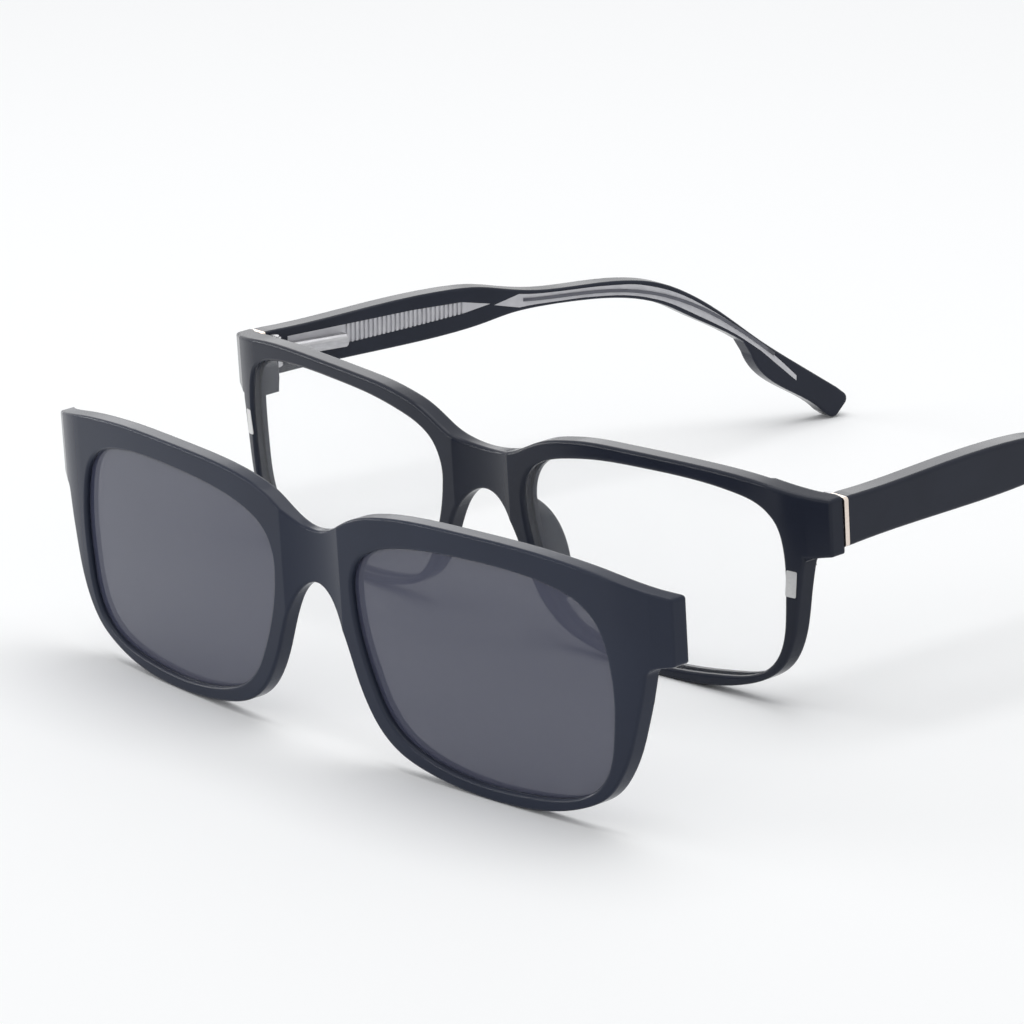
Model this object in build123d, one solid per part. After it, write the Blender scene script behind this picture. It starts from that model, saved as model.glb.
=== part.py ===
from build123d import *
import math
import os

# Optical frame with a magnetic sun clip, both standing on one floor (mm).
# X is the wearer's left, Y runs back along the temples, Z is up.
# Each front is drawn upright about its own datum and leaned on afterwards.

# Lens openings
lens_wide = 53.2
lens_tall = 30.9
lens_low = -20.7
bridge_gap = 19.1
clip_lens_wide = 51.1
clip_lens_tall = 33.2
clip_lens_low = -22.6
clip_bridge_gap = 17.8

# Front and clip bodies
end_beyond_lens = 7.1
clip_end_beyond_lens = 9.3
front_deep = 3.1
clip_deep = 2.5
end_deep = 2.4
end_block_top = 10.2
block_step = 0.15
slant_run = 4.8
base_curve_radius = 430.0
wrap_start_share = 0.862
crease_share = 0.951
wrap_turn = 16.5
facet_turn = 31.0
front_lean = 4.0
edge_round = 0.55
clip_end_hollow = 1.6
opening_round = 0.45
back_round = 0.35
corner_round = 0.6

# Edge lines as shares of the half width (x) and of the lens height (z)
top_shares = [(0.0, 0.207), (0.06, 0.217), (0.113, 0.244), (0.165, 0.296), (0.215, 0.340),
              (0.262, 0.364), (0.34, 0.388), (0.43, 0.398), (0.54, 0.403), (0.66, 0.404),
              (0.76, 0.399), (0.86, 0.381), (0.93, 0.358), (1.0, 0.334)]
rim_shares = [(0.944, 0.015), (0.938, -0.06), (0.931, -0.16), (0.922, -0.30), (0.908, -0.42),
              (0.882, -0.525), (0.842, -0.598), (0.78, -0.656), (0.70, -0.697), (0.61, -0.717),
              (0.51, -0.719), (0.41, -0.703), (0.32, -0.668), (0.245, -0.612), (0.193, -0.530),
              (0.158, -0.430), (0.131, -0.315), (0.108, -0.205), (0.080, -0.107), (0.045, -0.040),
              (0.0, -0.012)]
end_low_share = 0.052
end_inner_low_share = 0.036
clip_top_shares = [(0.0, 0.242), (0.045, 0.258), (0.085, 0.295), (0.125, 0.340), (0.185, 0.382),
                   (0.25, 0.406), (0.33, 0.421), (0.43, 0.428), (0.54, 0.430), (0.66, 0.426),
                   (0.76, 0.412), (0.86, 0.388), (0.93, 0.361), (1.0, 0.327)]
clip_rim_shares = [(0.941, -0.065), (0.935, -0.13), (0.922, -0.24), (0.900, -0.39),
                   (0.873, -0.500), (0.836, -0.590), (0.78, -0.656), (0.70, -0.708), (0.61, -0.735),
                   (0.51, -0.741), (0.41, -0.728), (0.32, -0.698), (0.245, -0.648), (0.192, -0.570),
                   (0.155, -0.470), (0.128, -0.360), (0.106, -0.245), (0.080, -0.130), (0.045, -0.038),
                   (0.0, 0.0)]
clip_end_low_share = 0.032
clip_end_inner_low_share = 0.014

# Opening outlines as shares of the lens box, from its nasal and lower side
opening_shares = [(0.0, 0.655), (0.012, 0.775), (0.040, 0.845), (0.085, 0.895), (0.185, 0.945),
                  (0.32, 0.980), (0.50, 0.996), (0.70, 0.996), (0.84, 0.974), (0.93, 0.930),
                  (0.972, 0.868), (0.993, 0.770), (1.0, 0.62), (0.996, 0.44), (0.982, 0.265),
                  (0.948, 0.155), (0.88, 0.078), (0.76, 0.034), (0.62, 0.008), (0.48, 0.0),
                  (0.34, 0.012), (0.22, 0.048), (0.13, 0.120), (0.078, 0.225), (0.042, 0.36),
                  (0.015, 0.50)]
clip_opening_shares = [(0.0, 0.715), (0.012, 0.800), (0.040, 0.862), (0.090, 0.910), (0.185, 0.955),
                       (0.32, 0.984), (0.50, 0.998), (0.68, 0.994), (0.81, 0.968), (0.905, 0.915),
                       (0.958, 0.835), (0.986, 0.72), (1.0, 0.57), (0.995, 0.385), (0.975, 0.23),
                       (0.93, 0.125), (0.86, 0.062), (0.75, 0.022), (0.62, 0.004), (0.50, 0.0),
                       (0.38, 0.015), (0.27, 0.048), (0.18, 0.105), (0.118, 0.185), (0.072, 0.30),
                       (0.030, 0.455), (0.006, 0.60)]

# Lenses and their grooves
groove_deep = 0.6
lens_bite = 0.5
lens_thick = 1.3
clip_lens_thick = 0.9
groove_room = 0.05
lens_from_face = 0.95
clip_lens_from_face = 0.9

# Bridge hollow
bridge_hollow_radius = 26.0
bridge_hollow_deep = 0.9

# Nose pads
pad_low = -17.0
pad_high = -3.0
pad_reach = 3.4
pad_flare = 3.1
pad_drop = 1.3
pad_thick = 2.2
pad_tip_thick = 1.5
pad_offset = 0.4
pad_bite = 0.25
pad_edge_round = 0.3

# Magnets
magnet_wide = 1.7
magnet_tall = 4.1
magnet_thick = 0.7
magnet_centre_x = 63.9
magnet_centre_z = -2.9
magnet_slant = 5.0
magnet_proud = 0.04
magnet_corner = 0.25

# Hinge
hinge_x = 65.1
hinge_behind_back = 1.45
hinge_centre_z = 7.0
barrel_radius = 1.25
pin_radius = 0.6
pin_room = 0.04
barrel_tall = 1.5
barrel_gap = 0.06
pin_head_radius = 0.95
pin_head_tall = 0.35
leaf_long = 5.0
leaf_inward = 1.9
leaf_thick = 0.7
leaf_neck = 1.4
rivet_radius = 0.5
rivet_long = 2.0
case_long = 12.0
case_wide = 2.4
case_tall = 2.3
case_corner = 0.9
case_wall = 0.35
case_bite = 0.1
case_start = 0.9
collar_long = 1.0
rod_radius = 0.38
rod_room = 0.05
rod_head_radius = 0.7
rod_head_long = 0.8
bore_radius = 0.8
spring_travel = 1.2
spring_long = 4.2
spring_wire_radius = 0.12
spring_turns = 5
lug_tall_share = 0.8

# Temples
temple_thick = 3.6
temple_start = 1.8
temple_out = 0.1
temple_toe_in = 3.66
temple_gap = 0.12
trim_thick = 0.85
temple_edge_round = 0.55
temple_inner_round = 0.4
tip_round = 1.3
temple_top = [(0.0, 33.1), (20.0, 34.2), (36.0, 34.7), (42.0, 34.3), (48.0, 33.1), (54.0, 32.1),
              (60.0, 31.7), (67.0, 31.5), (74.0, 30.9), (80.0, 29.6), (85.5, 27.3), (92.0, 23.5),
              (102.0, 16.4), (111.0, 10.6), (119.2, 5.5)]
temple_tip = [(122.2, 3.3), (118.8, -0.2)]
temple_low = [(0.0, 25.5), (12.0, 26.2), (24.0, 26.6), (37.0, 27.3), (43.0, 28.0), (48.0, 28.8),
              (54.0, 29.15), (62.0, 29.0), (69.0, 28.5), (75.5, 27.4), (81.0, 25.6), (87.0, 22.6),
              (95.0, 18.6), (98.4, 16.6)]
paddle_low = [(100.1, 14.1), (101.9, 11.2), (109.3, 6.0), (116.5, 1.3)]
inlay_deep = 0.9
panel_top = [(3.0, 31.7), (14.0, 32.0), (28.0, 32.4), (38.0, 32.3)]
panel_low = [(3.0, 28.2), (14.0, 28.8), (28.0, 29.6), (38.0, 30.3)]
rib_start = 14.6
panel_point = (44.0, 31.2)
rib_pitch = 0.9
rib_count = 27
rib_deep = 0.25
rib_share = 0.5
strip_start = 44.8
strip_full = 50.0
strip_end = 98.0
strip_last = 110.0
strip_high_share = 0.80
strip_low_share = 0.20
strip_step = 4.0
tip_strip_tall = 0.9
tip_strip_below_top = 2.3

# Clip position in front of the optical frame
clip_aside = 31.4
clip_ahead = 55.8
seat_gap = 0.12

share_half = 0.5
round_shares = (1, 0.92, 1.08, 0.84, 0.72, 0.6)
share_straight = 0.99
places = 3

half_wide = bridge_gap / 2 + lens_wide + end_beyond_lens
clip_half_wide = clip_bridge_gap / 2 + clip_lens_wide + clip_end_beyond_lens
far = 4 * half_wide
block_inner_x = hinge_x - leaf_inward - case_corner - slant_run


def mirrored(points):
    # the same points on the other side of the centre plane, in reverse order
    return [(-x, z) for x, z in reversed(points)]


def one(shape):
    # the largest solid of a result
    return max(shape.solids(), key=lambda solid: solid.volume)


def scaled(shares, wide, tall):
    return [(x * wide, z * tall) for x, z in shares]


def outline(top, rim, end_low, end_inner_low, hollow=0):
    # closed edge line of a front, right half given, left half mirrored, hollowed under the ends where asked
    corner_x, corner_z = top[-1]
    rim_x, rim_z = rim[0]
    run, rise = rim[1][0] - rim_x, rim[1][1] - rim_z
    top_line = Spline(*(mirrored(top)[:-1] + top))
    rim_points = rim + mirrored(rim)[1:]
    if hollow:
        inner_x = rim_x + run / rise * (end_inner_low - rim_z)
        rim_line = Spline(*rim_points, tangents=((run, rise), (run, -rise)))
        right = FilletPolyline((corner_x, end_low), (inner_x, end_inner_low), (rim_x, rim_z), radius=hollow)
        left = FilletPolyline((-rim_x, rim_z), (-inner_x, end_inner_low), (-corner_x, end_low), radius=hollow)
    else:
        rim_line = Spline(*rim_points)
        right = Polyline((corner_x, end_low), (rim_x, end_inner_low), (rim_x, rim_z))
        left = Polyline((-rim_x, rim_z), (-rim_x, end_inner_low), (-corner_x, end_low))
    right_end = Line((corner_x, corner_z), (corner_x, end_low))
    left_end = Line((-corner_x, end_low), (-corner_x, corner_z))
    return Face(Wire([top_line, right_end] + right.edges() + [rim_line] + left.edges() + [left_end]))


def opening(shares, gap, wide, low, tall, side, grow=0.0):
    # closed lens outline on one side, grown outward by the given length
    points = [(gap / 2 + x * wide, low + z * tall) for x, z in shares]
    count = len(points)
    grown = []
    for i, (x, z) in enumerate(points):
        before, after = points[i - 1], points[(i + 1) % count]
        run, rise = after[0] - before[0], after[1] - before[1]
        size = math.hypot(run, rise)
        grown.append((side * (x - rise / size * grow), z + run / size * grow))
    return Face(Wire(Spline(*grown, periodic=True)))


def face_line(ahead):
    # plan curve of a front face from the left end to the right end, moved ahead by a length
    start_x = wrap_start_share * half_wide
    crease_x = crease_share * half_wide
    first = math.asin(start_x / base_curve_radius)
    last = first + math.radians(wrap_turn)
    middle = (first + last) / 2
    radius = (crease_x - start_x) / (math.sin(last) - math.sin(first))
    start_y = base_curve_radius * (1 - math.cos(first)) - ahead
    middle_x = start_x + radius * (math.sin(middle) - math.sin(first))
    middle_y = start_y + radius * (math.cos(first) - math.cos(middle))
    crease_y = start_y + radius * (math.cos(first) - math.cos(last))
    out_x = half_wide + front_deep
    out_y = crease_y + (out_x - crease_x) * math.tan(math.radians(facet_turn))
    right = [ThreePointArc((start_x, start_y), (middle_x, middle_y), (crease_x, crease_y)),
             Line((crease_x, crease_y), (out_x, out_y))]
    left = [Line((-out_x, out_y), (-crease_x, crease_y)),
            ThreePointArc((-crease_x, crease_y), (-middle_x, middle_y), (-start_x, start_y))]
    base = ThreePointArc((-start_x, start_y), (0, -ahead), (start_x, start_y))
    return left + [base] + right, (out_x, out_y)


def end_depth():
    # how far back of its own face line the end corner of the optical front lies
    crease_x = crease_share * half_wide
    lines, _ = face_line(0)
    return max(line.position_at(1).Y for line in lines[-2:-1]) + (half_wide - crease_x) * math.tan(
        math.radians(facet_turn))


butt_y = end_depth() + end_deep


def tall_solid(face):
    return extrude(Plane.XY * face, amount=far / 2, both=True)


def side_layer(face, outer, inner):
    # solid of a side view, between two distances inward of the temple's outer face
    layer = Pos(-(outer + inner) / 2, far, 0) * Box(inner - outer, 3 * far, far)
    return one(extrude(Plane.YZ * face, amount=far, both=True) & layer)


def deep_solid(face):
    return extrude(Plane.XZ * face, amount=far / 2, both=True)


def behind_face(ahead):
    # everything behind a face line that lies ahead by a length
    edges, (out_x, out_y) = face_line(ahead)
    ends = [Line((out_x, out_y), (out_x, far)), Line((out_x, far), (-out_x, far)),
            Line((-out_x, far), (-out_x, out_y))]
    return tall_solid(Face(Wire(edges + ends)))


def plate(ahead, deep, flat_back=None):
    # curved plate standing on the floor plan, with straight butts for the hinges where asked
    front_edges, (out_x, out_y) = face_line(ahead)
    back_edges, (_, back_y) = face_line(ahead - deep)
    ends = [Line((out_x, out_y), (out_x, back_y)), Line((-out_x, back_y), (-out_x, out_y))]
    solid = tall_solid(Face(Wire(front_edges + back_edges + ends)))
    if flat_back is None:
        return solid
    low_z = end_inner_low_share * lens_tall
    blocks = []
    behind = behind_face(ahead - deep / 2)
    for side in (1, -1):
        shape = Polyline((side * block_inner_x, 0), (side * out_x, 0), (side * out_x, flat_back),
                         (side * (block_inner_x + slant_run), flat_back),
                         (side * block_inner_x, flat_back - slant_run), close=True)
        slant = Polyline((side * block_inner_x, low_z), (side * (half_wide + end_deep), low_z),
                         (side * (half_wide + end_deep), far), (side * block_inner_x, far), close=True)
        blocks.append(tall_solid(make_face(shape)) & behind & deep_solid(make_face(slant)))
    solid = solid + blocks
    cut = Box(far, far, far, align=(Align.CENTER, Align.MIN, Align.CENTER)).move(Pos(0, flat_back, 0))
    return solid - cut


def curved_layer(ahead, deep):
    # plate on the base curve alone, for lenses and their grooves
    reach = half_wide
    sag = base_curve_radius - math.sqrt(base_curve_radius ** 2 - reach ** 2)
    front = ThreePointArc((-reach, sag - ahead), (0, -ahead), (reach, sag - ahead))
    back = ThreePointArc((-reach, sag - ahead + deep), (0, deep - ahead), (reach, sag - ahead + deep))
    ends = [Line((reach, sag - ahead), (reach, sag - ahead + deep)),
            Line((-reach, sag - ahead + deep), (-reach, sag - ahead))]
    return tall_solid(Face(Wire([front, back] + ends)))


def soften(solid, edges, radius):
    # round the given edges, with a slightly other radius where the kernel can't, or leave them sharp
    for share in round_shares:
        try:
            rounded = solid.fillet(radius * share, edges)
            if rounded.is_valid:
                return rounded
        except Exception:
            continue
    print("left sharp:", len(edges), "edges", radius)
    return solid


def rim_edges(solid, facing):
    # edges around the faces that look ahead (facing -1) or back (facing 1)
    seen = {}
    for face in solid.faces():
        normal = face.normal_at()
        if normal.Y * facing > abs(normal.X) / 2 + abs(normal.Z):
            for edge in face.edges():
                middle = edge.position_at(share_half)
                key = (round(middle.X, places), round(middle.Y, places), round(middle.Z, places))
                seen.setdefault(key, []).append(edge)
    return [found[0] for found in seen.values() if len(found) == 1]


def within(edge, low, high):
    # whether an edge's middle lies in a lens box, on either side
    middle = edge.position_at(share_half)
    return low[0] < abs(middle.X) < high[0] and low[1] < middle.Z < high[1]


def front_solid(edge_face, ahead, deep, flat_back, shares, gap, wide, low, tall):
    # one front: edge line through the curved plate, hollowed bridge, rounded edges, two openings
    body = one(deep_solid(edge_face) & plate(ahead, deep, flat_back))
    hollow = Cylinder(bridge_hollow_radius, far).move(
        Pos(0, -ahead - bridge_hollow_radius + bridge_hollow_deep, 0))
    body = one(body - hollow)
    corners = [edge for edge in body.edges()
               if edge.geom_type == GeomType.LINE and abs(edge.tangent_at(0).Y) > share_straight
               and abs(edge.position_at(share_half).X) > half_wide - end_deep]
    body = soften(body, corners, corner_round)
    body = soften(body, rim_edges(body, -1), edge_round)
    if flat_back is not None:
        body = soften(body, [edge for edge in rim_edges(body, 1) if edge.length > half_wide
                             and edge.position_at(share_half).Z > 0], back_round)
        under = round(end_inner_low_share * lens_tall, places)
        body = soften(body, [edge for edge in rim_edges(body, 1)
                             if round(edge.position_at(share_half).Z, places) < under], back_round)
    for side in (1, -1):
        body = one(body - deep_solid(opening(shares, gap, wide, low, tall, side)))
    box = ((gap / 2 - groove_deep, low - groove_deep), (gap / 2 + wide + groove_deep, low + tall + groove_deep))
    inner = [edge for edge in rim_edges(body, -1) if within(edge, *box)]
    return soften(body, inner, opening_round)


def rounded_rectangle(wide, tall, corner, centre_x, centre_z, turn):
    face = make_face(RectangleRounded(wide, tall, corner).edges())
    return Pos(centre_x, centre_z) * Rot(0, 0, turn) * face


def both_sides(name, solid):
    parts[name + "_right"] = solid
    parts[name + "_left"] = solid.mirror(Plane.YZ)


def line_at(points, x):
    # straight reading between the points of a table, carried on past its ends
    for (x0, z0), (x1, z1) in zip(points, points[1:]):
        if x <= x1:
            break
    return z0 + (z1 - z0) * (x - x0) / (x1 - x0)


parts = {}

# Optical front
top = scaled(top_shares, half_wide, lens_tall)
rim = scaled(rim_shares, half_wide, lens_tall)
front_edge = outline(top, rim, end_low_share * lens_tall, end_inner_low_share * lens_tall)
lens_args = (opening_shares, bridge_gap, lens_wide, lens_low, lens_tall)
front = front_solid(front_edge, 0, front_deep, butt_y, *lens_args)
# The hinge block behind each end stays under the plate's top line, but for a narrow step at its root
for side in (1, -1):
    above = Pos(side * (block_inner_x + far / 2), 0, end_block_top + far / 2) * Box(far, 3 * far, far)
    front = one(front - (behind_face(-front_deep - block_step) & above))
groove_ahead = -lens_from_face + groove_room
for side in (1, -1):
    layer = curved_layer(groove_ahead, lens_thick + 2 * groove_room)
    front = front - (deep_solid(opening(*lens_args, side, groove_deep)) & layer)
lens_layer = curved_layer(-lens_from_face, lens_thick)
both_sides("demo_lens", one(deep_solid(opening(*lens_args, 1, lens_bite)) & lens_layer))

# Magnets let into the front
magnet_face = rounded_rectangle(magnet_wide, magnet_tall, magnet_corner, magnet_centre_x, magnet_centre_z,
                                -magnet_slant)
magnet = one(deep_solid(magnet_face) & plate(magnet_proud, magnet_thick))
both_sides("front_magnet", magnet)
for side in ("right", "left"):
    front = front - parts["front_magnet_" + side]

# Front leaf of the hinge, let into the flat back of each end
hinge_y = butt_y + hinge_behind_back
barrel_step = barrel_tall + barrel_gap
leaf_tall = 2 * barrel_step + barrel_tall
leaf_x = hinge_x - leaf_inward + leaf_long / 2
leaf = Pos(leaf_x, butt_y - leaf_thick / 2, hinge_centre_z) * Box(leaf_long, leaf_thick, leaf_tall)
pocket = leaf
for level in (-1, 1):
    height = hinge_centre_z + level * barrel_step
    neck_y = hinge_y - butt_y + leaf_thick
    leaf = leaf + Pos(hinge_x - leaf_neck / 2, butt_y - leaf_thick + neck_y / 2, height) * Box(
        leaf_neck, neck_y, barrel_tall)
    leaf = leaf + Pos(hinge_x, hinge_y, height) * Cylinder(barrel_radius, barrel_tall)
rivets = []
for index, name in enumerate(("inner", "outer")):
    rivet_x = leaf_x + (index - share_half) * leaf_long / 2
    rivet = Pos(rivet_x, butt_y - rivet_long / 2, hinge_centre_z) * Rot(90, 0, 0) * Cylinder(
        rivet_radius, rivet_long)
    rivets.append((name, rivet))
    leaf = leaf - rivet
pin = Pos(hinge_x, hinge_y, hinge_centre_z) * Cylinder(pin_radius, leaf_tall)
pin_top = hinge_centre_z + leaf_tall / 2
leaf = one(leaf - pin)
head = Pos(hinge_x, hinge_y, pin_top + pin_head_tall / 2) * Cylinder(pin_head_radius, pin_head_tall)
slot = Pos(hinge_x, hinge_y, pin_top + pin_head_tall) * Box(2 * pin_head_radius, pin_room * 6, pin_head_tall)
both_sides("hinge_leaf", leaf)
both_sides("hinge_screw", one(pin + head - slot))
for name, rivet in rivets:
    both_sides("hinge_rivet_" + name, rivet)
for cutter in [pocket] + [rivet for _, rivet in rivets]:
    front = front - cutter - cutter.mirror(Plane.YZ)
parts["frame_front"] = one(front)

# Nose pads behind the rims, flared away from the nose
pad_line = [point for point in rim if pad_low <= point[1] <= pad_high and point[0] < lens_wide / 2]


def pad_section(depth, inward, thick, drop):
    # closed outline of a pad at one depth, moved away from the nose, shortened and arched at both ends
    low_z, high_z = pad_line[0][1] + drop, pad_line[-1][1] - drop
    share = (high_z - low_z) / (pad_line[-1][1] - pad_line[0][1])
    inner = [(x + inward, low_z + (z - pad_line[0][1]) * share) for x, z in pad_line]
    outer = [(x + thick, z) for x, z in reversed(inner)]
    low_arch = (inner[0][0] + thick / 2, inner[0][1] - thick / 2)
    high_arch = (inner[-1][0] + thick / 2, inner[-1][1] + thick / 2)
    wire = Wire([Spline(*inner), ThreePointArc(inner[-1], high_arch, outer[0]),
                 Spline(*outer), ThreePointArc(outer[-1], low_arch, inner[0])])
    return Plane(origin=(0, depth, 0), x_dir=(1, 0, 0), z_dir=(0, -1, 0)) * wire


pad = Solid.make_loft([pad_section(front_deep - pad_bite, pad_offset, pad_thick, 0),
                       pad_section(front_deep + pad_reach, pad_offset + pad_flare, pad_tip_thick, pad_drop)],
                      ruled=True)
pad_back = [edge for edge in pad.edges()
            if min(edge.position_at(end).Y for end in (0, share_half, 1)) > front_deep + pad_reach - pad_bite]
pad = soften(pad, pad_back, pad_edge_round)
pad = one(pad - parts["frame_front"])
both_sides("nose_pad", pad)

# Sun clip, drawn in its seated place on the front
clip_top = scaled(clip_top_shares, clip_half_wide, clip_lens_tall)
clip_rim = scaled(clip_rim_shares, clip_half_wide, clip_lens_tall)
clip_edge = outline(clip_top, clip_rim, clip_end_low_share * clip_lens_tall,
                    clip_end_inner_low_share * clip_lens_tall, clip_end_hollow)
clip_args = (clip_opening_shares, clip_bridge_gap, clip_lens_wide, clip_lens_low, clip_lens_tall)
clip_ahead_of_front = seat_gap + clip_deep
clip = front_solid(clip_edge, clip_ahead_of_front, clip_deep, None, *clip_args)
clip_lens_ahead = clip_ahead_of_front - clip_lens_from_face
for side in (1, -1):
    layer = curved_layer(clip_lens_ahead + groove_room, clip_lens_thick + 2 * groove_room)
    clip = clip - (deep_solid(opening(*clip_args, side, groove_deep)) & layer)
sun_layer = curved_layer(clip_lens_ahead, clip_lens_thick)
both_sides("clip_lens", one(deep_solid(opening(*clip_args, 1, lens_bite)) & sun_layer))
clip_magnet = one(deep_solid(magnet_face) & plate(seat_gap - magnet_proud + magnet_thick, magnet_thick))
both_sides("clip_magnet", clip_magnet)
for side in ("right", "left"):
    clip = clip - parts["clip_magnet_" + side]
parts["clip_frame"] = one(clip)

# Stand both fronts on the floor, leaned forward at the top
lean = Rot(front_lean, 0, 0)
lift = -(lean * parts["frame_front"]).bounding_box().min.Z
clip_lift = -(lean * parts["clip_frame"]).bounding_box().min.Z
stand = Pos(0, 0, lift) * lean
clip_stand = Pos(clip_aside, -clip_ahead, clip_lift) * lean
for name in list(parts):
    parts[name] = (clip_stand if name.startswith("clip") else stand) * parts[name]

# Temples, drawn straight and level, then toed in
joint_place = Pos(half_wide + temple_out, butt_y + temple_start, 0) * Rot(0, 0, temple_toe_in)
top_start = (-2 * temple_start, line_at(temple_top, -2 * temple_start))
low_start = (-2 * temple_start, line_at(temple_low, -2 * temple_start))
temple_face = Face(Wire([
    Line(low_start, top_start), Line(top_start, temple_top[0]), Spline(*temple_top),
    Line(temple_top[-1], temple_tip[0]), Line(temple_tip[0], temple_tip[1]),
    Line(temple_tip[1], paddle_low[-1]), Spline(*reversed(paddle_low)),
    Line(paddle_low[0], temple_low[-1]), Spline(*reversed(temple_low)), Line(temple_low[0], low_start)]))
temple = side_layer(temple_face, 0, temple_thick)
tip_edges = [edge for edge in temple.edges()
             if abs(edge.tangent_at(0).X) > share_straight and edge.position_at(0).Y > strip_last + tip_round
             and (Vector(0, *temple_top[-1]) - edge.center()).length > temple_thick]
temple = soften(temple, tip_edges, tip_round)
for level, radius in ((0, temple_edge_round), (-temple_thick, temple_inner_round)):
    face_edges = [edge for edge in temple.edges()
                  if max(abs(edge.position_at(end).X - level) for end in (0, share_half, 1)) < radius]
    temple = soften(temple, face_edges, radius)


def slab_behind(distance, thick):
    # layer parallel to the butt of the front, in the room's frame
    slab = Pos(0, butt_y + distance + thick / 2, 0) * Box(far, thick, far)
    return stand * slab


def placed(shape):
    return joint_place * shape


trim = one(placed(temple) & slab_behind(temple_gap, trim_thick))
both_sides("temple_trim", trim)

# Ribbed crystal panel let into the inner face of each temple
panel_outline = Polyline(*(panel_top + [panel_point] + list(reversed(panel_low))), close=True)
panel = side_layer(make_face(panel_outline), temple_thick - inlay_deep, temple_thick)
ribs = []
for index in range(rib_count):
    rib_y = rib_start + index * rib_pitch
    ribs.append(Pos(-temple_thick, rib_y, 0) * Box(2 * rib_deep, rib_pitch * rib_share, far))
panel_pocket = panel
panel = one(panel - ribs)

# Clear core strip down the shank to the tip
levels = []
steps = int((strip_end - strip_full) / strip_step)
for index in range(steps + 1):
    y = strip_full + index * strip_step
    low_z, high_z = line_at(temple_low, y), line_at(temple_top, y)
    tall = high_z - low_z
    levels.append((y, low_z + tall * strip_high_share, low_z + tall * strip_low_share))
start_z = (levels[0][1] + levels[0][2]) / 2
end_high = line_at(temple_top, strip_last) - tip_strip_below_top
upper = [(y, high_z) for y, high_z, _ in levels] + [(strip_last, end_high)]
lower = [(y, low_z) for y, _, low_z in levels]
last_low = (strip_last, end_high - tip_strip_tall)
turn_y, turn_high, _ = levels[-1]
strip_face = Face(Wire([
    Line((strip_start, start_z), upper[0]), Spline(*upper), Line(upper[-1], last_low),
    Line(last_low, (turn_y + strip_step, line_at(upper, turn_y + strip_step) - tip_strip_tall)),
    Line((turn_y + strip_step, line_at(upper, turn_y + strip_step) - tip_strip_tall), lower[-1]),
    Spline(*reversed(lower)), Line(lower[0], (strip_start, start_z))]))
strip = side_layer(strip_face, temple_thick - inlay_deep, temple_thick)

# Spring case on the inner face of the temple, with the sprung arm inside
hinge_world = stand * Pos(hinge_x, hinge_y, hinge_centre_z)
hinge_height = hinge_world.position.Z
hinge_in_temple = joint_place.inverse() * hinge_world
case_y = hinge_in_temple.position.Y + barrel_radius + case_start
case_x = hinge_in_temple.position.X
case_inner_x = case_x - case_wide / 2
case_outer_x = case_bite - temple_thick
case_outline = RectangleRounded(case_outer_x - case_inner_x, case_tall, case_corner)
case = Pos((case_inner_x + case_outer_x) / 2, case_y + case_long / 2, hinge_height) * Rot(90, 0, 0) * extrude(
    case_outline, amount=case_long / 2, both=True)
case = case.solids()[0]
bore_long = case_long - collar_long - case_wall
bore = Pos(case_x, case_y + collar_long + bore_long / 2, hinge_height) * Rot(90, 0, 0) * Cylinder(
    bore_radius, bore_long)
collar_hole = Pos(case_x, case_y + collar_long / 2, hinge_height) * Rot(90, 0, 0) * Cylinder(
    rod_radius + rod_room, collar_long)
case_end = [edge for edge in case.edges() if edge.center().Y > case_y + case_long - case_wall]
case_block = soften(case, case_end, case_wall)
case = one(case_block - bore - collar_hole)
temple = one(temple - panel_pocket - strip - case_block)

rod_start = hinge_in_temple.position.Y
rod_long = case_y + collar_long + spring_long + spring_travel - rod_start
rod = Pos(case_x, rod_start + rod_long / 2, hinge_height) * Rot(90, 0, 0) * Cylinder(rod_radius, rod_long)
rod_head = Pos(case_x, rod_start + rod_long + rod_head_long / 2, hinge_height) * Rot(90, 0, 0) * Cylinder(
    rod_head_radius, rod_head_long)
lug_long = barrel_radius + case_start - rod_room
lug = Pos(case_x, rod_start + lug_long / 2, hinge_height) * Box(
    barrel_radius, lug_long, barrel_tall * lug_tall_share)
barrel = stand * Pos(hinge_x, hinge_y, hinge_centre_z) * Cylinder(barrel_radius, barrel_tall)
hole = stand * Pos(hinge_x, hinge_y, hinge_centre_z) * Cylinder(pin_radius + pin_room, 2 * barrel_tall)
arm = one(barrel + placed(rod + rod_head + lug) - hole)
both_sides("hinge_arm", arm)

coil_radius = (rod_radius + bore_radius) / 2
coil = Helix(pitch=(spring_long - 4 * spring_wire_radius) / spring_turns,
             height=spring_long - 4 * spring_wire_radius, radius=coil_radius)
wire_end = Plane(origin=coil.position_at(0), z_dir=coil.tangent_at(0))
spring = sweep(wire_end * Circle(spring_wire_radius), path=coil)
spring = Pos(case_x, case_y + collar_long + 2 * spring_wire_radius, hinge_height) * Rot(-90, 0, 0) * spring
both_sides("hinge_spring", placed(one(spring)))

# Cut the shell back behind the trim and finish the inner pieces
shell = placed(temple)
ahead_of_trim = stand * Pos(0, butt_y + temple_gap + trim_thick, 0) * Box(
    far, far, far, align=(Align.CENTER, Align.MAX, Align.CENTER))
shell = one(shell - ahead_of_trim)
both_sides("temple_shell", shell)
both_sides("temple_panel", placed(one(panel - case_block)))
both_sides("temple_strip", placed(strip))
both_sides("spring_case", placed(case))

# Put the origin under the middle of everything, on the floor
boxes = [solid.bounding_box() for solid in parts.values()]
low_corner = [min(getattr(box.min, axis) for box in boxes) for axis in "XYZ"]
high_corner = [max(getattr(box.max, axis) for box in boxes) for axis in "XYZ"]
centre = Pos(-(low_corner[0] + high_corner[0]) / 2, -(low_corner[1] + high_corner[1]) / 2, -low_corner[2])

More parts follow.
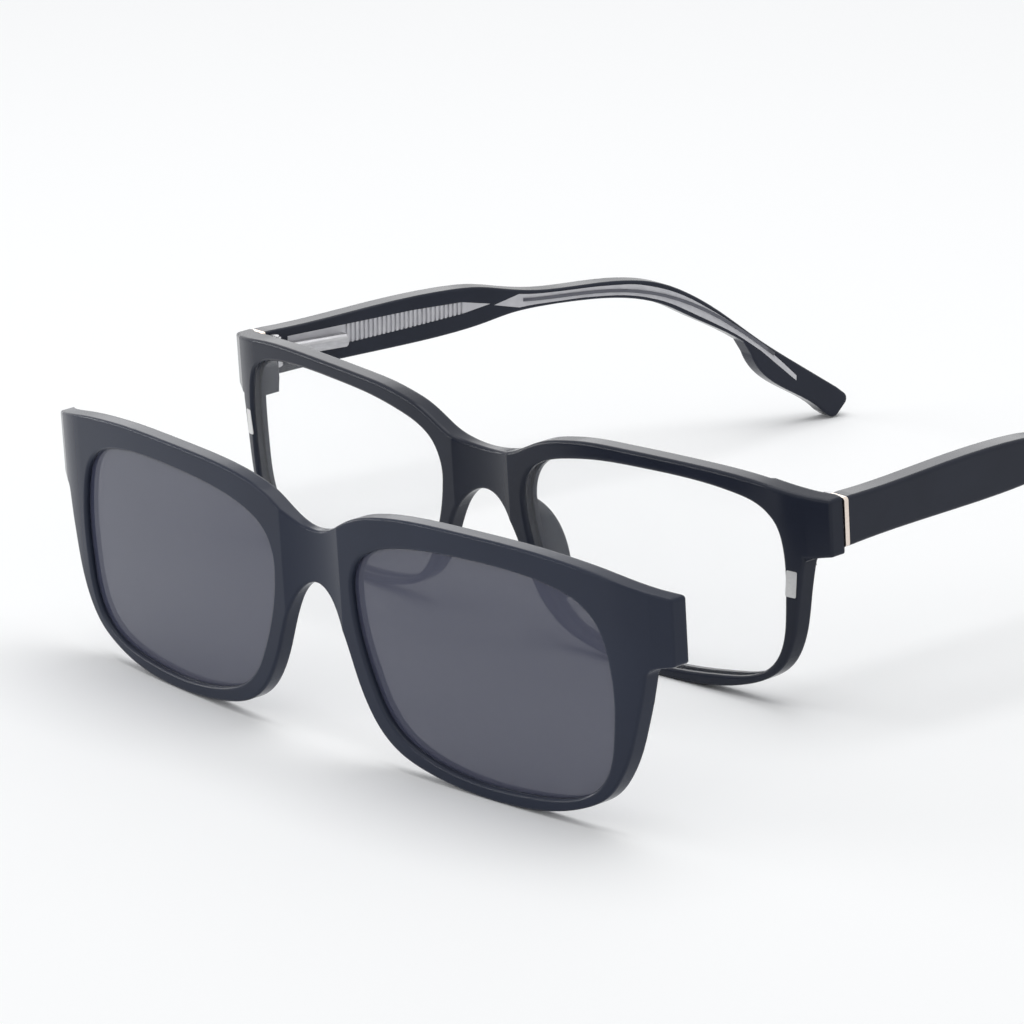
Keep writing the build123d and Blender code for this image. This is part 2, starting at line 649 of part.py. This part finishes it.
os.makedirs("parts", exist_ok=True)
for name, solid in parts.items():
    if not solid.is_valid:
        print("not valid:", name)
    export_step(centre * solid, os.path.join("parts", name + ".step"))
print(len(parts), "nodes")
print("moved", centre.position)
print("hinge_right", (centre * hinge_world).position)
print("hinge_left", (centre * Pos(-hinge_world.position.X, hinge_world.position.Y, hinge_height)).position)
print("seated clip minus photo clip", -clip_aside, clip_ahead, lift - clip_lift)
print("from", low_corner, "to", high_corner)
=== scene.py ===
import math
import bmesh
import bpy
import numpy as np
from mathutils import Matrix, Vector


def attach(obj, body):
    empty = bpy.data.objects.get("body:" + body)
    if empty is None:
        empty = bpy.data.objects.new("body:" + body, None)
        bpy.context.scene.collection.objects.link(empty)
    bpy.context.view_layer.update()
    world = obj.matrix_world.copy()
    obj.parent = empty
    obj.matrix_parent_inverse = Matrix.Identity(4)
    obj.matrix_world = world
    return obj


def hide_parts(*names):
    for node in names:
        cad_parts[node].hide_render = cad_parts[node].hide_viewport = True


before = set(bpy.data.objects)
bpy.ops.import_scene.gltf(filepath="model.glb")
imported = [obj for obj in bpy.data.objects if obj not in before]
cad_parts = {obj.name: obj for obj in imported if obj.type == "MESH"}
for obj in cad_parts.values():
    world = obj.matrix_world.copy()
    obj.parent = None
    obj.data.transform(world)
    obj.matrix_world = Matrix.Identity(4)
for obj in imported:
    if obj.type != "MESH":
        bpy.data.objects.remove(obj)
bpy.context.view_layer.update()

print("frame loaded:", len(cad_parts), "nodes")


def hexLinear(code):
    # sRGB hex to linear: v/12.92 below 0.04045, else ((v+0.055)/1.055)^2.4
    values = [int(code[i:i + 2], 16) / 255 for i in (1, 3, 5)]
    return tuple(v / 12.92 if v <= 0.04045 else ((v + 0.055) / 1.055) ** 2.4 for v in values) + (1.0,)


def addNode(tree, kind, settings=None, links=None, **attributes):
    # one node with its attributes, socket values and incoming links
    node = tree.nodes.new(kind)
    for name, value in attributes.items():
        setattr(node, name, value)
    for name, value in (settings or {}).items():
        node.inputs[name].default_value = value
    for name, socket in (links or {}).items():
        tree.links.new(socket, node.inputs[name])
    return node


def newMaterial(name):
    material = bpy.data.materials.new(name)
    material.use_nodes = True
    material.node_tree.nodes.clear()
    return material, material.node_tree


def finishMaterial(tree, shader):
    addNode(tree, "ShaderNodeOutputMaterial", links={"Surface": shader})


def patternPlace(tree):
    # object coordinates in metres, which are the room's own here
    return addNode(tree, "ShaderNodeTexCoord").outputs["Object"]


def noise(tree, place, sizeMm, detail=2.0):
    # soft noise whose blotches are about sizeMm across
    return addNode(tree, "ShaderNodeTexNoise", {"Scale": 1000 / sizeMm, "Detail": detail},
                   {"Vector": place}).outputs["Fac"]


def twoTone(tree, amount, low, high):
    # colour that runs from low to high with amount
    node = addNode(tree, "ShaderNodeMix", links={0: amount}, data_type="RGBA")
    node.inputs[6].default_value = hexLinear(low)
    node.inputs[7].default_value = hexLinear(high)
    return node.outputs[2]


def spread(tree, amount, low, high):
    # number that runs from low to high with amount
    node = addNode(tree, "ShaderNodeMapRange", {"To Min": low, "To Max": high}, {"Value": amount})
    return node.outputs["Result"]


def relief(tree, height, depthMm, strength, edgeMm=0.0):
    # fine relief, over edges that are broken by edgeMm where that is given
    links = {"Height": height}
    if edgeMm:
        broken = addNode(tree, "ShaderNodeBevel", {"Radius": edgeMm / 1000}, samples=6)
        links["Normal"] = broken.outputs["Normal"]
    return addNode(tree, "ShaderNodeBump", {"Strength": strength, "Distance": depthMm / 1000},
                   links).outputs["Normal"]


def dress(material, *names):
    # the CAD node keeps its mesh and gets this finish
    for name in names:
        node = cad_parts[name]
        node.data.materials.clear()
        node.data.materials.append(material)


def pair(*names):
    return [name + side for name in names for side in ("_left", "_right")]


acrylicIor = 1.49  # cellulose acetate and acrylic bend light alike

# Optical frame and temples: acetate sheet, milled, tumbled and buffed
frameLook = {"dark": "#1f232e", "light": "#272b37", "sleek": 0.12, "hazy": 0.21, "gloss": 0.17,
             "cloudMm": 9.0, "cloudDetail": 3.0, "buffMm": 0.35, "buffDepthMm": 0.002, "buffStrength": 0.1,
             "edgeMm": 0.35}


def polishedAcetate():
    # blue-black with a soft wet gloss, faint clouds in its tone and the haze that a buffing wheel leaves
    look = frameLook
    material, tree = newMaterial("blackAcetateBuffed")
    place = patternPlace(tree)
    haze = noise(tree, place, look["buffMm"])
    clouds = noise(tree, place, look["cloudMm"], look["cloudDetail"])
    normal = relief(tree, haze, look["buffDepthMm"], look["buffStrength"], look["edgeMm"])
    shader = addNode(tree, "ShaderNodeBsdfPrincipled",
                     {"IOR": acrylicIor, "Specular IOR Level": look["gloss"]},
                     {"Base Color": twoTone(tree, clouds, look["dark"], look["light"]),
                      "Roughness": spread(tree, haze, look["sleek"], look["hazy"]), "Normal": normal})
    finishMaterial(tree, shader.outputs["BSDF"])
    return material


# Clip frame: nylon moulded in a fine-blasted tool
clipLook = {"dark": "#252a38", "light": "#2b3140", "sleek": 0.15, "hazy": 0.25, "gloss": 0.16,
            "cloudMm": 12.0, "grainMm": 0.22, "grainDepthMm": 0.003, "grainStrength": 0.1, "edgeMm": 0.35,
            "ior": 1.52}


def satinNylon():
    # satin blue-black with an even fine grain, drawn at 0.22 mm, four times the real size, so that it shows
    look = clipLook
    material, tree = newMaterial("blackNylonSatin")
    place = patternPlace(tree)
    grain = noise(tree, place, look["grainMm"])
    clouds = noise(tree, place, look["cloudMm"])
    normal = relief(tree, grain, look["grainDepthMm"], look["grainStrength"], look["edgeMm"])
    shader = addNode(tree, "ShaderNodeBsdfPrincipled",
                     {"IOR": look["ior"], "Specular IOR Level": look["gloss"]},
                     {"Base Color": twoTone(tree, clouds, look["dark"], look["light"]),
                      "Roughness": spread(tree, grain, look["sleek"], look["hazy"]), "Normal": normal})
    finishMaterial(tree, shader.outputs["BSDF"])
    return material


# Lenses: see-through shares, and the heights between which the tint deepens, in metres
lensLook = {"sunThin": "#494c5f", "sunDense": "#424558", "sunAlpha": 0.75, "sunRoughness": 0.08,
            "sunGloss": 0.3, "sunIor": 1.5, "tintLow": 0.002, "tintHigh": 0.036, "filmMm": 14.0,
            "clear": "#f4f7fb", "clearThin": 0.04, "clearThick": 0.07, "clearRoughness": 0.03,
            "flowMm": 20.0, "flowDetail": 1.0}


def tintedLens():
    # cast polarised sheet: dark grey, slightly denser towards its top, glossy on both faces
    look = lensLook
    material, tree = newMaterial("polarisedGreyLensCast")
    place = patternPlace(tree)
    height = addNode(tree, "ShaderNodeSeparateXYZ", links={"Vector": place}).outputs["Z"]
    share = addNode(tree, "ShaderNodeMapRange", {"From Min": look["tintLow"], "From Max": look["tintHigh"]},
                    {"Value": height}).outputs["Result"]
    uneven = addNode(tree, "ShaderNodeMath", links={0: share, 1: noise(tree, place, look["filmMm"])},
                     operation="MULTIPLY").outputs["Value"]
    shader = addNode(tree, "ShaderNodeBsdfPrincipled",
                     {"IOR": look["sunIor"], "Roughness": look["sunRoughness"], "Alpha": look["sunAlpha"],
                      "Specular IOR Level": look["sunGloss"]},
                     {"Base Color": twoTone(tree, uneven, look["sunThin"], look["sunDense"])})
    finishMaterial(tree, shader.outputs["BSDF"])
    return material


def clearLens():
    # injection-moulded acrylic dummy lens: nearly invisible, with a faint cool tone and a thin gloss
    look = lensLook
    material, tree = newMaterial("clearAcrylicLensMoulded")
    flow = noise(tree, patternPlace(tree), look["flowMm"], look["flowDetail"])
    shader = addNode(tree, "ShaderNodeBsdfPrincipled",
                     {"IOR": acrylicIor, "Roughness": look["clearRoughness"],
                      "Base Color": hexLinear(look["clear"])},
                     {"Alpha": spread(tree, flow, look["clearThin"], look["clearThick"])})
    finishMaterial(tree, shader.outputs["BSDF"])
    return material


# Metals by their finish: bright and dull tone, roughness, and the streaks' width and length in mm
metalLook = {"nickelSilverTumbled": ("#c4c4c6", "#9c9ca0", 0.3, 0.3, 1.5),
             "steelTrimPolished": ("#efe3d9", "#d6c8bd", 0.24, 0.4, 2.0),
             "magnetNickelPlated": ("#e2e2e0", "#bfbfc0", 0.34, 0.25, 0.25),
             "coreWireDrawn": ("#6c6d74", "#54555c", 0.3, 0.3, 3.0)}
streakLook = {"detail": 3.0, "sleekShare": 0.8, "hazyShare": 1.25}


def metalFinish(name):
    # worked metal: fine streaks of duller tone along Y, with uneven roughness
    bright, dull, roughness, acrossMm, alongMm = metalLook[name]
    material, tree = newMaterial(name)
    scale = (1000 / acrossMm, 1000 / alongMm, 1000 / acrossMm)
    turned = addNode(tree, "ShaderNodeMapping", {"Scale": scale}, {"Vector": patternPlace(tree)})
    streaks = addNode(tree, "ShaderNodeTexNoise", {"Scale": 1.0, "Detail": streakLook["detail"]},
                      {"Vector": turned.outputs["Vector"]}).outputs["Fac"]
    rough = spread(tree, streaks, roughness * streakLook["sleekShare"], roughness * streakLook["hazyShare"])
    shader = addNode(tree, "ShaderNodeBsdfPrincipled", {"Metallic": 1.0},
                     {"Base Color": twoTone(tree, streaks, dull, bright), "Roughness": rough})
    finishMaterial(tree, shader.outputs["BSDF"])
    return material


crystalLook = {"tone": "#dcdce0", "deep": "#bcbcc3", "cloudMm": 2.5, "roughness": 0.16, "alpha": 0.85}


def crystalAcetate():
    # smoky crystal acetate, milled and buffed: pale grey and clouded, so that the wire shows through
    material, tree = newMaterial("smokyCrystalAcetateBuffed")
    tone = twoTone(tree, noise(tree, patternPlace(tree), crystalLook["cloudMm"]), crystalLook["deep"],
                   crystalLook["tone"])
    shader = addNode(tree, "ShaderNodeBsdfPrincipled",
                     {"IOR": acrylicIor, "Roughness": crystalLook["roughness"],
                      "Alpha": crystalLook["alpha"]}, {"Base Color": tone})
    finishMaterial(tree, shader.outputs["BSDF"])
    return material


acetate = polishedAcetate()
coreMetal = metalFinish("coreWireDrawn")
dress(acetate, "frame_front", *pair("temple_shell", "nose_pad"))
dress(satinNylon(), "clip_frame")
dress(tintedLens(), *pair("clip_lens"))
dress(clearLens(), *pair("demo_lens"))
dress(crystalAcetate(), *pair("temple_panel", "temple_strip"))
dress(metalFinish("nickelSilverTumbled"),
      *pair("hinge_leaf", "hinge_arm", "hinge_screw", "hinge_rivet_inner", "hinge_rivet_outer",
            "spring_case", "hinge_spring"))
dress(metalFinish("steelTrimPolished"), *pair("temple_trim"))
dress(metalFinish("magnetNickelPlated"), *pair("front_magnet", "clip_magnet"))
print("materials set")


# How the front was drawn upright before it was leaned, lifted and centred, in mm
drawing = {"lean": 4.0, "lift": 22.0486, "shiftX": -15.2989, "shiftY": -37.2298, "baseRadius": 430.0,
           "wrapStart": 60.211, "creaseX": 66.427, "wrapTurn": 16.5, "facetTurn": 31.0, "frontDeep": 3.1}


def standing(points):
    # drawn points (x, y, z) in mm to the room in metres: turned about X by the lean, lifted and centred
    x, y, z = np.asarray(points, float).reshape(-1, 3).T
    lean = math.radians(drawing["lean"])
    return np.stack([x + drawing["shiftX"], y * math.cos(lean) - z * math.sin(lean) + drawing["shiftY"],
                     y * math.sin(lean) + z * math.cos(lean) + drawing["lift"]], 1) / 1000


def faceY(x):
    # plan curve of the front face: base circle, then the wrap's arc, then the straight facet
    x = np.abs(np.asarray(x, float))
    base, begin, crease = drawing["baseRadius"], drawing["wrapStart"], drawing["creaseX"]
    first = math.asin(begin / base)
    last = first + math.radians(drawing["wrapTurn"])
    beginY = base * (1 - math.cos(first))
    radius = (crease - begin) / (math.sin(last) - math.sin(first))
    turn = np.arcsin(np.clip(math.sin(first) + (x - begin) / radius, -1, 1))
    creaseY = beginY + radius * (math.cos(first) - math.cos(last))
    return np.where(x < begin, base - np.sqrt(base ** 2 - np.minimum(x, base) ** 2), np.where(
        x < crease, beginY + radius * (math.cos(first) - np.cos(turn)),
        creaseY + (x - crease) * math.tan(math.radians(drawing["facetTurn"]))))


def addMesh(name, points, faces, material=None, smooth=True):
    # new piece with its object at the origin
    mesh = bpy.data.meshes.new(name)
    whole = [tuple(int(i) for i in face) for face in faces]
    mesh.from_pydata(np.asarray(points, float).tolist(), [], whole)
    mesh.shade_smooth() if smooth else mesh.shade_flat()
    piece = bpy.data.objects.new(name, mesh)
    bpy.context.scene.collection.objects.link(piece)
    if material:
        mesh.materials.append(material)
    return piece


def tubeFaces(rings, around):
    # quads between closed rings of equal count, and a cap at each end
    i, j = np.meshgrid(np.arange(rings - 1), np.arange(around), indexing="ij")
    here, beside = i * around + j, i * around + (j + 1) % around
    quads = np.stack([here, beside, beside + around, here + around], -1).reshape(-1, 4)
    return quads.tolist() + [list(range(around))[::-1], list(range((rings - 1) * around, rings * around))]


def turnedOut(piece):
    # normals outward, whichever way the rings were counted: inside out, a closed mesh has a volume below 0
    mesh = bmesh.new()
    mesh.from_mesh(piece.data)
    if mesh.calc_volume(signed=True) < 0:
        bmesh.ops.reverse_faces(mesh, faces=mesh.faces)
    mesh.to_mesh(piece.data)
    mesh.free()
    return piece


# Ends of the front: a small hollow joins each end's underside and the rim; in mm and degrees
endLook = {"hollow": 1.6, "cornerX": 65.94, "cornerZ": 1.113, "endRise": 7.2, "rimLean": 9.0, "inside": 0.5,
           "faceIn": 0.3, "backIn": 0.15, "steps": 10}


def rimHollow(name, side, material):
    # prism under the end whose free side is a quarter hollow: centre + r (cos t, sin t)
    look, r = endLook, endLook["hollow"]
    rise, lean = math.radians(look["endRise"]), math.radians(look["rimLean"])
    out = np.array([math.cos(rise), math.sin(rise)])
    down = np.array([-math.sin(lean), -math.cos(lean)])
    corner = np.array([look["cornerX"], look["cornerZ"]])
    turns = np.linspace(math.pi / 2 - lean, math.pi + rise, look["steps"])
    hollow = corner + r * (out + down) + r * np.stack([np.cos(turns), np.sin(turns)], 1)
    buried = [corner + r * down - look["inside"] * out, corner - look["inside"] * (out + down),
              corner + r * out - look["inside"] * down]
    line = np.concatenate([hollow, buried])
    near = faceY(line[:, 0])
    rings = [np.stack([side * line[:, 0], near + gap, line[:, 1]], 1)
             for gap in (look["faceIn"], drawing["frontDeep"] - look["backIn"])]
    piece = addMesh(name, standing(np.concatenate(rings)), tubeFaces(2, len(line)), material, smooth=False)
    return turnedOut(piece)


for side, word in ((1, "right"), (-1, "left")):
    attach(rimHollow("endHollow_" + word, side, acetate), "front")
print("ends shaped")

# Nose pads: a lobe that grows out of the rim's back, away from the nose, and dies out at both ends; in mm
padLook = {"line": [(1.9, -0.7), (3.6, -1.5), (5.59, -3.31), (7.54, -6.33), (9.15, -9.73), (11.04, -13.29),
                    (13.48, -16.38)],
           "lineDegree": 4, "lineStart": 0.03, "lineShare": 0.94, "inward": 0.5, "root": 2.85, "reach": 3.7,
           "back": 0.2, "flare": 3.2, "thickRoot": 2.1, "thickTip": 1.5, "thinShare": 0.35,
           "endShare": 0.01, "leastSwell": 0.02, "swellPower": 0.42, "squarePower": 0.55, "rings": 48,
           "around": 24}


def padRing(x, z, swell, side):
    # ring about the lobe from its root to its tip: a squared oval, |sin a|^power either side of the middle
    look = padLook
    root = np.array([look["inward"], look["root"]])
    way = np.array([look["flare"] * swell, look["reach"] * swell + look["back"]])
    across = np.array([way[1], -way[0]]) / np.linalg.norm(way)
    full = look["thinShare"] + (1 - look["thinShare"]) * swell
    ring = []
    for angle in np.linspace(0, 2 * math.pi, look["around"], endpoint=False):
        along, over = (1 - math.cos(angle)) / 2, math.sin(angle)
        half = (look["thickRoot"] * (1 - along) + look["thickTip"] * along) / 2 * full
        squared = math.copysign(abs(over) ** look["squarePower"], over)
        place = root + way * along + across * half * (squared + 1)
        ring.append((side * (x + place[0]), place[1], z))
    return ring


def nosePad(name, side, material):
    # rings along the rim line: at share t the lobe's swell is sin(pi t)^power
    look = padLook
    line = np.array(look["line"])
    along = np.linspace(0, 1, len(line))
    fits = [np.polyfit(along, line[:, axis], look["lineDegree"]) for axis in (0, 1)]
    rings = []
    for t in np.linspace(0, 1, look["rings"]):
        x, z = (np.polyval(fit, look["lineStart"] + look["lineShare"] * t) for fit in fits)
        inner = min(max(t, look["endShare"]), 1 - look["endShare"])
        swell = max(math.sin(math.pi * inner), look["leastSwell"]) ** look["swellPower"]
        rings += padRing(x, z, swell, side)
    return turnedOut(addMesh(name, standing(rings), tubeFaces(look["rings"], look["around"]), material))


for side, word in ((1, "right"), (-1, "left")):
    pad = nosePad("nosePad_" + word, side, acetate)
    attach(pad, "front")
    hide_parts("nose_pad_" + word)
print("nose pads made")

# Core wire in each temple's crystal strip: flat drawn wire along the strip's middle, flush with its face;
# in metres, with the corners of its section as shares of half its width and half its thickness
wireLook = {"wide": 0.00055, "thick": 0.00016, "slice": 0.003, "startIn": 0.006, "endIn": 0.003,
            "proud": 0.00002, "leastPoints": 4, "asideDegree": 1, "heightDegree": 5,
            "sectionShares": [(-1, 1), (-0.8, 1.15), (0.8, 1.15), (1, 1), (1, -1), (-1, -1)]}


def stripMiddle(node, side):
    # middle of the strip's inner face in slices along Y, smoothed by a straight line in X and a curve in Z
    look = wireLook
    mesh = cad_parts[node].data
    points = np.empty(len(mesh.vertices) * 3)
    mesh.vertices.foreach_get("co", points)
    points = points.reshape(-1, 3)
    first, last = points[:, 1].min() + look["startIn"], points[:, 1].max() - look["endIn"]
    middles = []
    for y in np.arange(first, last, look["slice"]):
        near = points[np.abs(points[:, 1] - y) < look["slice"]]
        if len(near) >= look["leastPoints"]:
            inner = (near[:, 0] * -side).max() * -side
            middles.append((inner, y, (near[:, 2].max() + near[:, 2].min()) / 2))
    x, y, z = np.array(middles).T
    x = np.polyval(np.polyfit(y, x, look["asideDegree"]), y)
    z = np.polyval(np.polyfit(y, z, look["heightDegree"]), y)
    return np.stack([x, y, z], 1)


def coreWire(name, node, side, material):
    # the wire's section turned along the strip's middle
    look = wireLook
    path = stripMiddle(node, side)
    way = np.gradient(path, axis=0)
    inward = np.array([-side, 0.0, 0.0])
    wide = np.cross(way, inward)
    wide /= np.linalg.norm(wide, axis=1)[:, None]
    rings = []
    for middle, across in zip(path, wide):
        for aside, deep in look["sectionShares"]:
            depth = (deep - 1) * look["thick"] / 2 + look["proud"]
            rings.append(middle + across * aside * look["wide"] / 2 + inward * depth)
    return turnedOut(addMesh(name, rings, tubeFaces(len(path), len(look["sectionShares"])), material))


for side, word in ((1, "right"), (-1, "left")):
    wire = coreWire("coreWire_" + word, "temple_strip_" + word, side, coreMetal)
    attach(wire, "temple_" + word)
print("core wires made")

# Studio: a pale floor, soft lamps and even light, in metres and watts
studio = {"floorSize": 6.0, "floor": "#f5f6f7", "world": 0.52, "lamps": [
    # name, place, aim, size, watts
    ("overhead", (0.0, 0.05, 0.9), (0, 0.02, 0), (0.9, 0.9), 5.0),
    ("behind", (-0.75, 0.75, 0.42), (0, 0, 0.02), (0.9, 0.4), 1.3),
    ("edgeStrip", (-0.67, -0.6, 0.2), (0, 0, 0.02), (0.9, 0.05), 2.2),
    ("front", (0.5, -0.9, 0.5), (0, -0.03, 0.02), (0.6, 0.6), 0.6)]}


def makeFloor():
    # flat square through z = 0
    half = studio["floorSize"] / 2
    mesh = bpy.data.meshes.new("floor")
    corners = np.array([(-1, -1, 0), (1, -1, 0), (1, 1, 0), (-1, 1, 0)], float) * half
    mesh.from_pydata(corners.tolist(), [], [(0, 1, 2, 3)])
    floor = bpy.data.objects.new("floor", mesh)
    bpy.context.scene.collection.objects.link(floor)
    material, tree = newMaterial("paleFloorPaint")
    shade = addNode(tree, "ShaderNodeBsdfDiffuse", {"Color": hexLinear(studio["floor"])})
    finishMaterial(tree, shade.outputs["BSDF"])
    mesh.materials.append(material)


def makeLamps():
    for name, place, aim, size, watts in studio["lamps"]:
        data = bpy.data.lights.new(name, "AREA")
        data.shape = "RECTANGLE"
        data.size, data.size_y = size
        data.energy = watts
        lamp = bpy.data.objects.new(name, data)
        lamp.location = place
        lamp.rotation_euler = (Vector(aim) - Vector(place)).to_track_quat("-Z", "Y").to_euler()
        bpy.context.scene.collection.objects.link(lamp)


def makeWorld():
    # even pale light; rays from the camera and from gloss or glass see plain white
    world = bpy.data.worlds.new("studio")
    world.use_nodes = True
    bpy.context.scene.world = world
    tree = world.node_tree
    tree.nodes.clear()
    path = addNode(tree, "ShaderNodeLightPath")
    seen = path.outputs["Is Camera Ray"]
    for kind in ("Is Glossy Ray", "Is Transmission Ray"):
        seen = addNode(tree, "ShaderNodeMath", links={0: seen, 1: path.outputs[kind]},
                       operation="MAXIMUM").outputs["Value"]
    light = addNode(tree, "ShaderNodeBackground", {"Color": (1, 1, 1, 1)},
                    {"Strength": spread(tree, seen, studio["world"], 1.0)})
    addNode(tree, "ShaderNodeOutputWorld", links={"Surface": light.outputs["Background"]})


# Camera: turns in degrees, places in metres, lens and sensor in mm
view = {"azimuth": 49.50, "elevation": 15.19, "roll": -0.19, "distance": 0.945, "lens": 215.7, "sensor": 36,
        "aside": 0.00472, "up": 0.01772, "centre": (-0.0152989, -0.0372298, 0.0)}


def makeCamera():
    # back = (sin a cos e, -cos a cos e, sin e); right and up are turned about it by the roll
    a, e, r = (math.radians(view[key]) for key in ("azimuth", "elevation", "roll"))
    back = Vector((math.sin(a) * math.cos(e), -math.cos(a) * math.cos(e), math.sin(e)))
    level = Vector((math.cos(a), math.sin(a), 0))
    rise = back.cross(level)
    right = level * math.cos(r) + rise * math.sin(r)
    up = rise * math.cos(r) - level * math.sin(r)
    place = Vector(view["centre"]) + right * view["aside"] + up * view["up"] + back * view["distance"]
    data = bpy.data.cameras.new("camera")
    data.sensor_width = view["sensor"]
    data.lens = view["lens"]
    camera = bpy.data.objects.new("camera", data)
    camera.matrix_world = Matrix.Translation(place) @ Matrix((right, up, back)).transposed().to_4x4()
    bpy.context.scene.collection.objects.link(camera)
    bpy.context.scene.camera = camera


bpy.context.scene.view_settings.view_transform = "Standard"
makeFloor()
makeLamps()
makeWorld()
makeCamera()
print("stage set")
